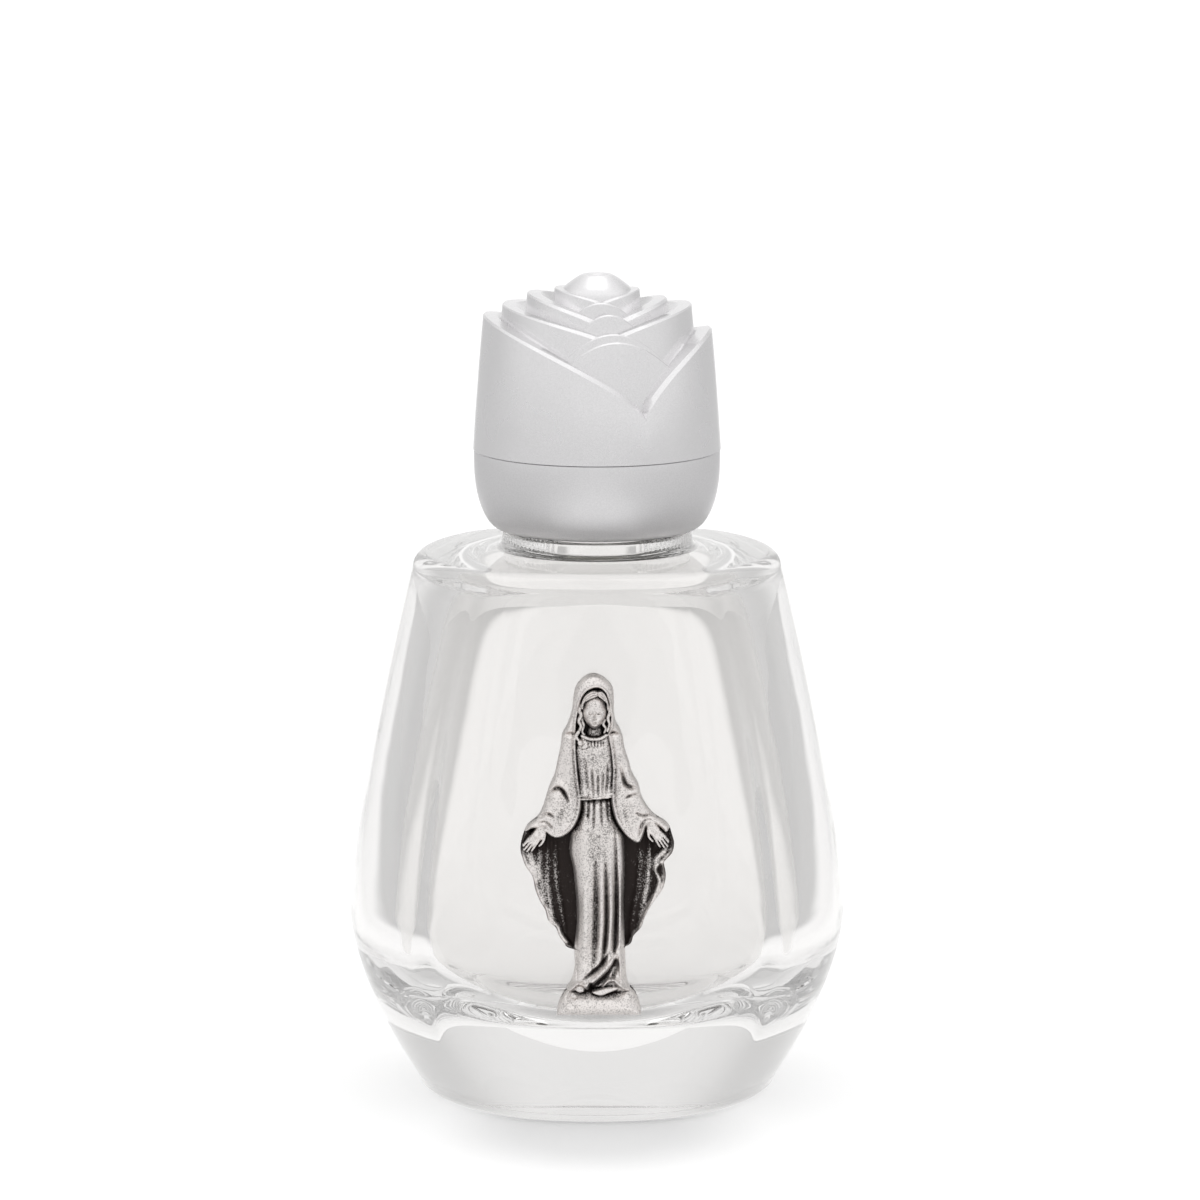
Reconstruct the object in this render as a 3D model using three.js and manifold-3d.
// Small glass holy water bottle with a screw cap shaped as a rose bud and a cast figure on the front.
// Millimetres, +Z up, front towards -Y. The origin is the centre of the base, on the surface it stands on.

import * as THREE from "three";
import { mergeVertices } from "three/addons/utils/BufferGeometryUtils.js";
import Module from "manifold-3d";

const wasm = await Module();
wasm.setup();

// Glass body
const footRadius = 16.5; // the lower curve carried down to the base plane
const heelRound = 1.6;
const bellyRadius = 24.1;
const bellyHeight = 18;
const shoulderRadius = 17.9;
const shoulderHeight = 51.5;
const shoulderRound = 1.65;
const domeRise = 0.4; // from the edge of the shoulder to the root of the neck
const lowerCurve = 1.65; // how fast the sides draw in below the belly
const upperCurve = 1.37; // and above it
const panelDistance = 19.6; // from the axis to the flat panel, at the base plane
const panelLean = 0.083; // how far the panel comes in for each millimetre of height
const panelEdgeBlend = 2.4; // softness of the edge between panel and round side

// Cavity
const sideWall = 4.4;
const panelWall = 3.6;
const cavityBlend = 4; // softness of the edge between its flat and round walls
const archHeight = 14; // from the foot of the bore down to where the arch meets the walls
const archFullness = 3.2; // how fast the arch spreads from the bore
const floorThickness = 8; // at the middle
const bowlDepth = 6.5; // of the floor, from its rim to its middle
const bowlReach = 12; // how far up the walls the bowl is felt
const floorCorner = 2;

// Neck
const rootRingRadius = 9.2;
const rootRingHeight = 1.6;
const neckRadius = 7.75;
const neckHeight = 8.7; // above the root ring
const boreRadius = 4.8;
const lipRound = 0.4;

// Pouring insert
const insertFlangeRadius = 6.4;
const insertFlangeThickness = 0.8;
const insertDepth = 7.5;
const insertWall = 0.9;
const pourHoleRadius = 2.5;

// Screw cap
const threadDepth = 1.05; // height of the thread on the neck, left plain here
const linerWall = 0.95;
const linerTopThickness = 0.9;
const sealThickness = 0.8;
const capBottomHeight = 7.6; // of the lower cup, from its flat bottom to the seam
const capSeamRadius = 11.97;
const capBottomRadius = 9.3;
const cupUpright = 1.2; // straight stretch of its wall under the seam
const seamStep = 0.09; // how far the rose overhangs the cup at the seam
const cupWall = 0.75;
const spigotHeight = 2;
const spigotWall = 0.7;
const roseTaper = 0.078; // how far the petals' wall comes in for each millimetre of height
const roseHollowStep = 1.6; // how far the hollow draws in over the liner

// Figure, glued to the front panel
const figureBaseHeight = 11.75; // its foot, above the base plane
const figureHeight = 32.5;
const figureCentre = 0.1; // sideways from the bottle's axis
const glueThickness = 0.3;

// Clearances
const seatGap = 0.15; // between pieces that rest on or are bonded to each other
const slipGap = 0.3; // between pieces that slide over or into each other
const seamGap = 0.15;

// Facets
const roundSides = 48;
const roseSides = 48;

// Heights and radii that follow from the sizes above
const rootHeight = shoulderHeight + shoulderRound + domeRise;
const rootRingTop = rootHeight + rootRingHeight;
const neckTop = rootRingTop + neckHeight;
const flangeBottom = neckTop + seatGap;
const flangeTop = flangeBottom + insertFlangeThickness;
const sealBottom = flangeTop + seatGap;
const sealTop = sealBottom + sealThickness;
const linerCeiling = sealTop + seatGap;
const linerTop = linerCeiling + linerTopThickness;
const capBottom = rootRingTop + slipGap;
const capSeam = capBottom + capBottomHeight;
const roseBottom = capSeam + seamGap;
const linerInner = neckRadius + threadDepth + seatGap;
const linerOuter = linerInner + linerWall;
const spigotInner = linerOuter + slipGap;
const spigotOuter = spigotInner + spigotWall;
const socketRadius = spigotOuter + slipGap;
const linerBottom = capBottom + cupWall + seatGap;

// Geometry helpers

const mix = (a, b, t) => a + (b - a) * t;

/** Smaller of two lengths, rounded where they are nearly equal. */
function softMin(a, b, blend) {
  const near = Math.max(blend - Math.abs(a - b), 0) / blend;
  return Math.min(a, b) - (near * near * blend) / 4;
}

/** A value that runs smoothly through [position, value] pairs given in rising order. */
function along(points) {
  return (at) => {
    let i = 1;
    while (i < points.length - 1 && at > points[i][0]) i += 1;
    const [p1, p2] = [points[i - 1], points[i]];
    const p0 = points[i - 2] ?? p1;
    const p3 = points[i + 1] ?? p2;
    const t = Math.min(Math.max((at - p1[0]) / (p2[0] - p1[0]), 0), 1);
    const width = p2[0] - p1[0];
    const slope1 = ((p2[1] - p0[1]) / (p2[0] - p0[0])) * width;
    const slope2 = ((p3[1] - p1[1]) / (p3[0] - p1[0])) * width;
    const t2 = t * t;
    const t3 = t2 * t;
    const values = (2 * t3 - 3 * t2 + 1) * p1[1] + (3 * t2 - 2 * t3) * p2[1];
    return values + (t3 - 2 * t2 + t) * slope1 + (t3 - t2) * slope2;
  };
}

/** A closed body through rings of equally many points, each [x, y, z], with both ends filled in flat.
 *  A last ring of one point closes the body at that point. */
function loft(rings) {
  const sides = rings[0].length;
  const positions = rings.flat(2);
  const triangles = [];
  for (let row = 0; row + 1 < rings.length; row += 1) {
    const low = row * sides;
    const high = low + sides;
    for (let side = 0; side < sides; side += 1) {
      const next = (side + 1) % sides;
      if (rings[row + 1].length === 1) triangles.push(low + side, low + next, high);
      else triangles.push(low + side, low + next, high + next, low + side, high + next, high + side);
    }
  }
  const fill = (ring, start, followsRing) => {
    const [a, b] = flatAxes(ring);
    const outline = ring.map((p) => new THREE.Vector2(p[a], p[b]));
    const faces = THREE.ShapeUtils.triangulateShape(outline, []);
    const faceArea = (face) => THREE.ShapeUtils.area(face.map((n) => outline[n]));
    const filled = faces.reduce((sum, face) => sum + faceArea(face), 0);
    const asRing = filled * THREE.ShapeUtils.area(outline) > 0;
    for (const face of faces) {
      const [i, j, k] = face.map((n) => n + start);
      if (asRing === followsRing) triangles.push(i, j, k);
      else triangles.push(i, k, j);
    }
  };
  fill(rings[0], 0, false);
  if (rings.at(-1).length > 1) fill(rings.at(-1), (rings.length - 1) * sides, true);
  return closedGeometry(positions, triangles);
}

/** The two axes that a flat ring spreads along. */
function flatAxes(ring) {
  const spread = [0, 1, 2].map((axis) => {
    const values = ring.map((p) => p[axis]);
    return Math.max(...values) - Math.min(...values);
  });
  const thin = spread.indexOf(Math.min(...spread));
  return [0, 1, 2].filter((axis) => axis !== thin);
}

/** A geometry whose faces point out, whichever way round the triangles were given. */
function closedGeometry(positions, triangles) {
  const corner = (n) => new THREE.Vector3().fromArray(positions, 3 * n);
  let volume = 0;
  for (let i = 0; i < triangles.length; i += 3) {
    const [a, b, c] = [corner(triangles[i]), corner(triangles[i + 1]), corner(triangles[i + 2])];
    volume += a.dot(b.cross(c));
  }
  const index = volume < 0 ? triangles.toReversed() : triangles;
  const geometry = new THREE.BufferGeometry();
  geometry.setAttribute("position", new THREE.Float32BufferAttribute(positions, 3));
  geometry.setIndex(index);
  return geometry;
}

/** The body of revolution about Z of a closed outline of [radius, height] points. */
function turned(outline, sides = roundSides) {
  const points = [...outline, outline[0]].map(([r, z]) => new THREE.Vector2(r, z));
  return new THREE.LatheGeometry(points, sides).rotateX(Math.PI / 2);
}

/** Points of a quarter round from one [radius, height] to another, leaving along the first's tangent. */
function quarter(from, to, steps, startsUpright) {
  return Array.from({ length: steps + 1 }, (_, i) => {
    const angle = (i / steps) * (Math.PI / 2);
    const [late, early] = [1 - Math.cos(angle), Math.sin(angle)];
    const [sideways, upward] = startsUpright ? [late, early] : [early, late];
    return [mix(from[0], to[0], sideways), mix(from[1], to[1], upward)];
  });
}

function toSolid(geometry) {
  const bare = geometry.clone();
  bare.deleteAttribute("normal");
  bare.deleteAttribute("uv");
  const merged = mergeVertices(bare, 1e-4);
  const triVerts = Uint32Array.from(merged.index.array);
  const vertProperties = Float32Array.from(merged.attributes.position.array);
  return new wasm.Manifold(new wasm.Mesh({ numProp: 3, vertProperties, triVerts }));
}

function toGeometry(solid) {
  const mesh = solid.getMesh();
  const geometry = new THREE.BufferGeometry();
  geometry.setAttribute("position", new THREE.BufferAttribute(mesh.vertProperties, 3));
  geometry.setIndex(new THREE.BufferAttribute(mesh.triVerts, 1));
  return geometry;
}

const joined = (geometries) => geometries.map(toSolid).reduce((all, one) => all.add(one));

// Glass bottle: a round body, flattened by a leaning panel at the front and back

const sideRadius = (z) => {
  const below = Math.max(bellyHeight - z, 0) / bellyHeight;
  const above = Math.max(z - bellyHeight, 0) / (shoulderHeight - bellyHeight);
  const footDraw = (bellyRadius - footRadius) * below ** lowerCurve;
  return bellyRadius - footDraw - (bellyRadius - shoulderRadius) * above ** upperCurve;
};
const panelAt = (z) => panelDistance - panelLean * z;

/** One ring of the glass at a height, flattened where it reaches past a distance from the axis. */
function flattenedRing(radius, z, flat, blend) {
  return Array.from({ length: roundSides }, (_, i) => {
    const angle = (i / roundSides) * 2 * Math.PI;
    const toPanel = flat / Math.max(Math.abs(Math.cos(angle)), 1e-6);
    const r = softMin(radius, toPanel, blend);
    return [r * Math.sin(angle), -r * Math.cos(angle), z];
  });
}

/** A ring part of the way from one to another. */
const mixRings = (from, to, t) => from.map((point, i) => point.map((at, axis) => mix(at, to[i][axis], t)));

const outerRing = ([r, z]) => flattenedRing(r, z, panelAt(z), panelEdgeBlend);

/** A ring of the cavity, a wall's thickness inside the glass and drawn in farther at the floor's corner. */
function cavityRing(z, inset = 0) {
  return flattenedRing(sideRadius(z) - sideWall - inset, z, panelAt(z) - panelWall - inset, cavityBlend);
}

/** A ring of the cavity, let down towards the axis so that the floor becomes a bowl. */
function bowled(ring) {
  return ring.map(([x, y, z]) => {
    const reach = Math.hypot(x, y) / (bellyRadius - sideWall);
    const lowDown = THREE.MathUtils.smoothstep(floorThickness + bowlDepth + bowlReach - z, 0, bowlReach);
    return [x, y, z - bowlDepth * (1 - reach ** 3) * lowDown];
  });
}

function glassBottle() {
  const steps = (from, to, count) => Array.from({ length: count }, (_, i) => mix(from, to, (i + 1) / count));
  const heel = quarter([footRadius - heelRound, 0], [sideRadius(heelRound), heelRound], 3, false);
  const heights = [...steps(heelRound, bellyHeight, 9), ...steps(bellyHeight, shoulderHeight, 6)];
  const sides = heights.map((z) => [sideRadius(z), z]);
  const shoulder = quarter([0, 0], [shoulderRound, shoulderRound], 4, true).slice(1).map(([inset, rise]) => {
    const z = shoulderHeight + rise;
    return flattenedRing(shoulderRadius - inset, z, panelAt(z) - inset, panelEdgeBlend + inset);
  });
  const root = outerRing([rootRingRadius + 0.35, rootHeight]);
  const dome = [1 / 3, 2 / 3].map((t) => mixRings(shoulder.at(-1), root, t));
  const archTop = shoulderHeight + shoulderRound;
  const neck = [
    [rootRingRadius, rootHeight + 0.35],
    [rootRingRadius, rootRingTop - 0.2],
    [rootRingRadius - 0.2, rootRingTop],
    [neckRadius + 0.3, rootRingTop],
    [neckRadius, rootRingTop + 0.3],
    ...quarter([neckRadius, neckTop - lipRound], [neckRadius - lipRound, neckTop], 2, true),
    [boreRadius + lipRound, neckTop],
    [boreRadius, neckTop - lipRound],
    [boreRadius, archTop],
  ];
  const outside = [...[...heel, ...sides].map(outerRing), ...shoulder, ...dome, root, ...neck.map(outerRing)];

  const arch = steps(0, 1, 10).map((t) => {
    const z = archTop - archHeight * t ** 2;
    return mixRings(outerRing([boreRadius, z]), cavityRing(z), 1 - (1 - t) ** archFullness);
  });
  const cornerTop = floorThickness + bowlDepth + floorCorner;
  const walls = steps(archTop - archHeight, cornerTop, 5).map((z) => cavityRing(z));
  const corner = quarter([0, 0], [floorCorner, floorCorner], 3, true).slice(1).map(([inset, drop]) => {
    return cavityRing(cornerTop - drop, inset);
  });
  const floor = [2 / 3, 1 / 3].map((t) => corner.at(-1).map(([x, y, z]) => [t * x, t * y, z]));
  const inside = [...arch, ...walls, ...corner, ...floor].map(bowled);
  return loft([...outside, ...inside, [[0, 0, floorThickness]]]);
}

// Pouring insert: a flanged plug in the bore, with a pouring hole

function pouringInsert() {
  const plugRadius = boreRadius - seatGap;
  const bottom = flangeTop - insertDepth;
  const insideRadius = plugRadius - insertWall;
  return turned([
    [pourHoleRadius, flangeTop],
    [pourHoleRadius, flangeTop - insertWall],
    [insideRadius, flangeTop - insertWall],
    [insideRadius, bottom],
    [plugRadius - 0.35, bottom],
    [plugRadius, bottom + 1],
    [plugRadius, flangeBottom],
    [insertFlangeRadius, flangeBottom],
    [insertFlangeRadius, flangeTop],
  ], 32);
}

// Cap: sealing disc, threaded liner, lower cup and rose

function sealingDisc() {
  const radius = linerInner - seatGap;
  return turned([
    [0, sealBottom],
    [radius, sealBottom],
    [radius, sealTop],
    [0, sealTop],
  ], 32);
}

function threadLiner() {
  return turned([
    [linerInner, linerBottom],
    [linerOuter - 0.5, linerBottom],
    [linerOuter, linerBottom + 1.4],
    [linerOuter, linerTop],
    [0, linerTop],
    [0, linerCeiling],
    [linerInner, linerCeiling],
  ]);
}

function cupShell() {
  const cupRadius = capSeamRadius - seamStep;
  const upright = capSeam - cupUpright;
  const curve = new THREE.EllipseCurve(
    capBottomRadius, upright,
    cupRadius - capBottomRadius, upright - capBottom,
    -Math.PI / 2, 0,
  );
  const outside = curve.getPoints(6).map((p) => [p.x, p.y]);
  return turned([
    [linerInner, capBottom],
    ...outside,
    [cupRadius, capSeam],
    [spigotOuter, capSeam],
    [spigotOuter, capSeam + spigotHeight],
    [spigotInner, capSeam + spigotHeight],
    [spigotInner, linerBottom + 1.4],
    [spigotInner - 0.5, linerBottom - seatGap],
    [linerInner, linerBottom - seatGap],
  ]);
}

// Rose: nested crowns of petals, each a solid whose rim follows the petals' edges.
// It is drawn with heights above the seam, and scaled to the cap's seam.

/** Rim of two petals that meet in a V at the front and back and rise to a tip at each side. */
function petalPair({ valley, valleyHeight, leftTip, rightTip }, radius) {
  return (x) => {
    const [side, tip] = x < valley ? [-radius, leftTip] : [radius, rightTip];
    const share = Math.min(Math.abs((x - valley) / (side - valley)), 1);
    return valleyHeight + (tip - valleyHeight) * share ** 0.7;
  };
}

/** Rim of one petal with a round top, at the front and at the back. */
function roundPetal({ centre, peak, curl }) {
  return (x) => Math.max(peak - curl * (x - centre) ** 2, 1);
}

const roseDrawing = { seamRadius: 11.97, budRadius: 4.4, budTop: 16.85, ceiling: 9.1 };
const roseScale = capSeamRadius / roseDrawing.seamRadius;
const roseLayers = [
  { radius: 11.97, valley: 4.8, valleyHeight: 4.65, leftTip: 13.05, rightTip: 11.75, bevel: 0.4 },
  { radius: 10.9, centre: 2, peak: 11.55, curl: 0.09, bevel: 0.3 },
  { radius: 10.3, centre: 1.7, peak: 12.25, curl: 0.1, bevel: 0.25 },
  { radius: 10.2, valley: 1.1, valleyHeight: 11.45, leftTip: 14.05, rightTip: 14.05, bevel: 0.25 },
  { radius: 8.5, centre: 1.3, peak: 13.85, curl: 0.17, bevel: 0.25 },
  { radius: 7.9, valley: 1.3, valleyHeight: 12.45, leftTip: 15.15, rightTip: 14.65, bevel: 1 },
  { radius: 7, centre: 0.5, peak: 14.95, curl: 0.13, bevel: 0.25 },
  { radius: 5.6, valley: 1, valleyHeight: 15.15, leftTip: 15.6, rightTip: 15.5, bevel: 0.4 },
];

/** One crown: its wall tapers up to the rim, which is bevelled and slopes in to a low middle. */
function petalCrown(layer) {
  const rim = "valley" in layer ? petalPair(layer, layer.radius) : roundPetal(layer);
  const ring = (inset, drop) =>
    Array.from({ length: roseSides }, (_, i) => {
      const angle = (i / roseSides) * 2 * Math.PI;
      const x = layer.radius * Math.sin(angle);
      const top = drop === null ? 0 : rim(x) - drop;
      const r = layer.radius - roseTaper * top - inset;
      return [r * Math.sin(angle), -r * Math.cos(angle), top];
    });
  const lowest = Math.min(...ring(0, 0).map((p) => p[2]));
  return loft([
    ring(0, null),
    ring(0, layer.bevel),
    ring(layer.bevel, 0),
    ring(layer.bevel + 1.2, 0.1),
    [[0, 0, lowest * 0.7]],
  ]);
}

function roseBud() {
  const { budRadius, budTop: top } = roseDrawing;
  return turned([
    [0, 0],
    [budRadius, 0],
    [budRadius, top - 2.4],
    [budRadius - 0.7, top - 1.3],
    [budRadius * 0.58, top - 0.5],
    [budRadius * 0.36, top - 0.04],
    [budRadius * 0.27, top],
    [budRadius * 0.14, top - 0.25],
    [0, top - 0.3],
  ], 32);
}

function roseShell() {
  const ceiling = roseBottom + roseDrawing.ceiling * roseScale;
  const hollow = turned([
    [0, roseBottom - 1],
    [socketRadius, roseBottom - 1],
    [socketRadius, capSeam + spigotHeight + slipGap],
    [spigotInner, capSeam + spigotHeight + slipGap],
    [spigotInner, linerTop + slipGap],
    [spigotInner - roseHollowStep, linerTop + slipGap],
    [spigotInner - roseHollowStep - 0.8, ceiling],
    [0, ceiling],
  ]);
  const drawn = joined([...roseLayers.map(petalCrown), roseBud()]);
  const outside = drawn.scale([roseScale, roseScale, roseScale]).translate([0, 0, roseBottom]);
  return toGeometry(outside.subtract(toSolid(hollow)));
}

// Figure: a cast relief of a hooded, robed woman with open hands, on a low mound.
// It is drawn in its own frame: x sideways, y up along the panel, z out from the panel, and scaled.

const figureUnits = 32.5; // how tall it is drawn
const figureScale = figureHeight / figureUnits;

/** A relief between two side edges. depth(side, height) is its thickness; side runs from -1 to 1. */
function relief({ from, to, rows, columns, left, right, depth }) {
  const rings = Array.from({ length: rows + 1 }, (_, row) => {
    const y = mix(from, to, row / rows);
    const front = Array.from({ length: columns + 1 }, (_, column) => {
      const side = Math.sin(mix(-Math.PI / 2, Math.PI / 2, column / columns));
      return [mix(left(y), right(y), (side + 1) / 2), y, Math.max(depth(side, y), 0.05)];
    });
    return [...front, [right(y), y, -0.5], [left(y), y, -0.5]];
  });
  return loft(rings);
}

const round = (side) => Math.sqrt(Math.max(1 - side * side, 0));

function mound() {
  return relief({
    from: 0, to: 2.9, rows: 4, columns: 10,
    left: along([[0, -3.9], [1.2, -3.65], [2.3, -3.1], [2.9, -2.3]]),
    right: along([[0, 4.05], [1.2, 3.8], [2.3, 3.2], [2.9, 2.4]]),
    depth: (side, y) => (3.4 - 0.25 * y) * round(side * 0.9),
  });
}

function skirt() {
  const waist = 1.35;
  const foldDepth = along([[2, 0.45], [6, 0.5], [12, 0.3], [18, 0.12], [21, 0.08]]);
  return relief({
    from: 2, to: 21, rows: 12, columns: 18,
    left: along([[2, -2.9], [4, -2.3], [10, -2.35], [17, -2.4], [21, -waist]]),
    right: along([[2, 2.9], [4, 2.5], [10, 2.45], [17, 2.3], [21, waist - 0.1]]),
    depth: (side, y) => {
      const folds = foldDepth(y) * Math.cos(side * 11 + y * 0.12);
      return (3.1 - 0.034 * y) * round(side * 0.92) + folds;
    },
  });
}

function bodice() {
  const thick = along([[20.7, 2.45], [21.3, 2.45], [23.8, 2.95], [26.9, 2.2]]);
  return relief({
    from: 20.7, to: 26.9, rows: 5, columns: 12,
    left: along([[20.7, -1.45], [21.3, -1.45], [23.5, -1.95], [26.9, -1.7]]),
    right: along([[20.7, 1.2], [21.3, 1.2], [23.5, 1.45], [26.9, 1.1]]),
    depth: (side, y) => thick(y) * round(side * 0.88),
  });
}

/** Cloak behind the figure, spread by the arms, with a wavy hem and deep folds. */
function cloak() {
  const wave = (y, phase) => 0.22 * Math.sin(y * 1.9 + phase);
  const leftEdge = along([
    [6.3, -2.4], [8.3, -4], [10.7, -5.2], [13.5, -6], [16.5, -7.1], [18.2, -6.6], [20, -5.3],
  ]);
  const rightEdge = along([
    [6.3, 2.5], [8.3, 3.9], [10.7, 5.1], [13.5, 6.2], [16.5, 7.1], [18.2, 6.5], [20, 4.9],
  ]);
  return relief({
    from: 6.3, to: 20, rows: 16, columns: 24,
    left: (y) => leftEdge(y) + wave(y, 0),
    right: (y) => rightEdge(y) + wave(y, 2),
    depth: (side, y) => 0.75 + 0.35 * Math.abs(side) ** 3 + 0.2 * Math.cos(side * 19 + y * 0.25),
  });
}

/** Front fall of the cloak over one arm, ending in a rounded lobe at the wrist. */
function sleeve(mirror) {
  const outer = along([
    [17, 4.3], [18.1, 6.2], [19.3, 5.2], [20.6, 4.6], [21.8, 4.2], [23.6, 3.4], [25.4, 3.1], [27.2, 2.5],
  ]);
  const inner = along([
    [17, 3.5], [17.6, 2.6], [18.6, 2], [20.5, 1.35], [23.5, 1.5], [25.5, 1.3], [27.2, 0.9],
  ]);
  const [left, right] = mirror < 0 ? [(y) => -outer(y) - 0.25, (y) => -inner(y) - 0.25] : [inner, outer];
  const thick = along([[17, 2], [19, 2.75], [22, 2.6], [25, 2.5], [27.2, 2]]);
  return relief({
    from: 17, to: 27.2, rows: 10, columns: 10,
    left, right,
    depth: (side, y) => thick(y) * (0.62 + 0.38 * round(side)) - 0.12 * Math.cos(side * 5 + y * 1.6),
  });
}

/** Open hand, held out and down with the palm to the front. */
function hand(mirror) {
  const palm = new THREE.SphereGeometry(1, 12, 8).scale(0.72, 1.75, 0.55);
  return palm.rotateZ(mirror * 0.55).rotateX(-0.25).translate(mirror * 6.1, 16.7, 1.95);
}

function head() {
  return new THREE.SphereGeometry(1, 16, 12).scale(1.18, 1.5, 1.25).rotateX(0.15).translate(-0.3, 28.9, 1.9);
}

function neck() {
  return new THREE.CylinderGeometry(0.65, 0.8, 2.2, 12).translate(-0.3, 27, 1.5);
}

function hood() {
  const top = figureUnits;
  const [brow, crown, peak] = [top - 1.7, top - 0.9, top - 0.3];
  const thick = along([[26.3, 2.2], [28, 2.3], [brow, 2.9], [peak, 2.2], [top, 1.3]]);
  const outside = relief({
    from: 26.3, to: top, rows: 10, columns: 14,
    left: along([
      [26.3, -3.3], [27.8, -2.95], [29, -2.5], [brow, -2.2], [crown, -1.8], [peak, -1.3], [top, -0.75],
    ]),
    right: along([
      [26.3, 2.35], [27.8, 1.85], [29, 1.6], [brow, 1.5], [crown, 1.1], [peak, 0.5], [top, -0.15],
    ]),
    depth: (side, y) => thick(y) * round(side * 0.9),
  });
  const opening = new THREE.SphereGeometry(1, 18, 12).scale(1.32, 2.6, 1.9).translate(-0.3, 28, 2.6);
  return toGeometry(toSolid(outside).subtract(toSolid(opening)));
}

function figure() {
  const arms = [-1, 1].flatMap((mirror) => [sleeve(mirror), hand(mirror)]);
  const drawn = joined([mound(), skirt(), bodice(), cloak(), ...arms, hood(), neck(), head()]);
  const span = 2 * figureUnits;
  const inFront = new THREE.BoxGeometry(span, span, span).translate(0, 0, span / 2);
  return toGeometry(drawn.intersect(toSolid(inFront)).scale([figureScale, figureScale, figureScale]));
}

/** Film of glue between the figure's flat back and the glass. */
function glueFilm() {
  const outline = new THREE.Shape();
  outline.moveTo(-2.4, 0.8);
  outline.lineTo(2.4, 0.8);
  outline.lineTo(1.5, 6.5);
  outline.quadraticCurveTo(4.6, 13.7, 5, 16.9);
  outline.quadraticCurveTo(3.2, 20.2, 1.2, 29.3);
  outline.quadraticCurveTo(-0.3, 31.5, -1.8, 29.3);
  outline.quadraticCurveTo(-3.4, 20.2, -5, 16.9);
  outline.quadraticCurveTo(-4.6, 13.7, -1.5, 6.5);
  const settings = { depth: glueThickness, bevelEnabled: false, curveSegments: 6 };
  return new THREE.ExtrudeGeometry(outline, settings).scale(figureScale, figureScale, 1);
}

// Materials, with their colours

const clearGlass = { color: 0xe9eeee, roughness: 0.03, metalness: 0, transparent: true, opacity: 0.35 };
const whitePlastic = { color: 0xf0efe9, roughness: 0.45, metalness: 0 };
const palePad = { color: 0xe6e3d8, roughness: 0.7, metalness: 0 };
const satinSilver = { color: 0xcfcfd1, roughness: 0.32, metalness: 0.9 };
const antiqueSilver = { color: 0xa8a09b, roughness: 0.45, metalness: 0.85 };
const clearGlue = { color: 0xe8e6dc, roughness: 0.3, metalness: 0, transparent: true, opacity: 0.6 };

function piece(name, geometry, material) {
  const mesh = new THREE.Mesh(geometry, new THREE.MeshStandardMaterial(material));
  mesh.name = name;
  return mesh;
}

const bottle = new THREE.Group();
bottle.add(piece("glass_bottle", glassBottle(), clearGlass));
bottle.add(piece("pouring_insert", pouringInsert(), whitePlastic));

const onPanel = new THREE.Group(); // its z axis points out from the leaning front panel
onPanel.position.set(figureCentre, -panelAt(figureBaseHeight), figureBaseHeight);
onPanel.rotation.x = Math.PI / 2 - Math.atan(panelLean);
const glue = piece("adhesive_film", glueFilm(), clearGlue);
glue.position.z = seatGap;
const casting = piece("figure_relief", figure(), antiqueSilver);
casting.position.z = seatGap + glueThickness + seatGap;
onPanel.add(glue, casting);
bottle.add(onPanel);

const cap = new THREE.Group();
cap.add(piece("cap_sealing_disc", sealingDisc(), palePad));
cap.add(piece("cap_thread_liner", threadLiner(), whitePlastic));
cap.add(piece("cap_cup_shell", cupShell(), satinSilver));
cap.add(piece("cap_rose_shell", roseShell(), satinSilver));
bottle.add(cap);

export default bottle;
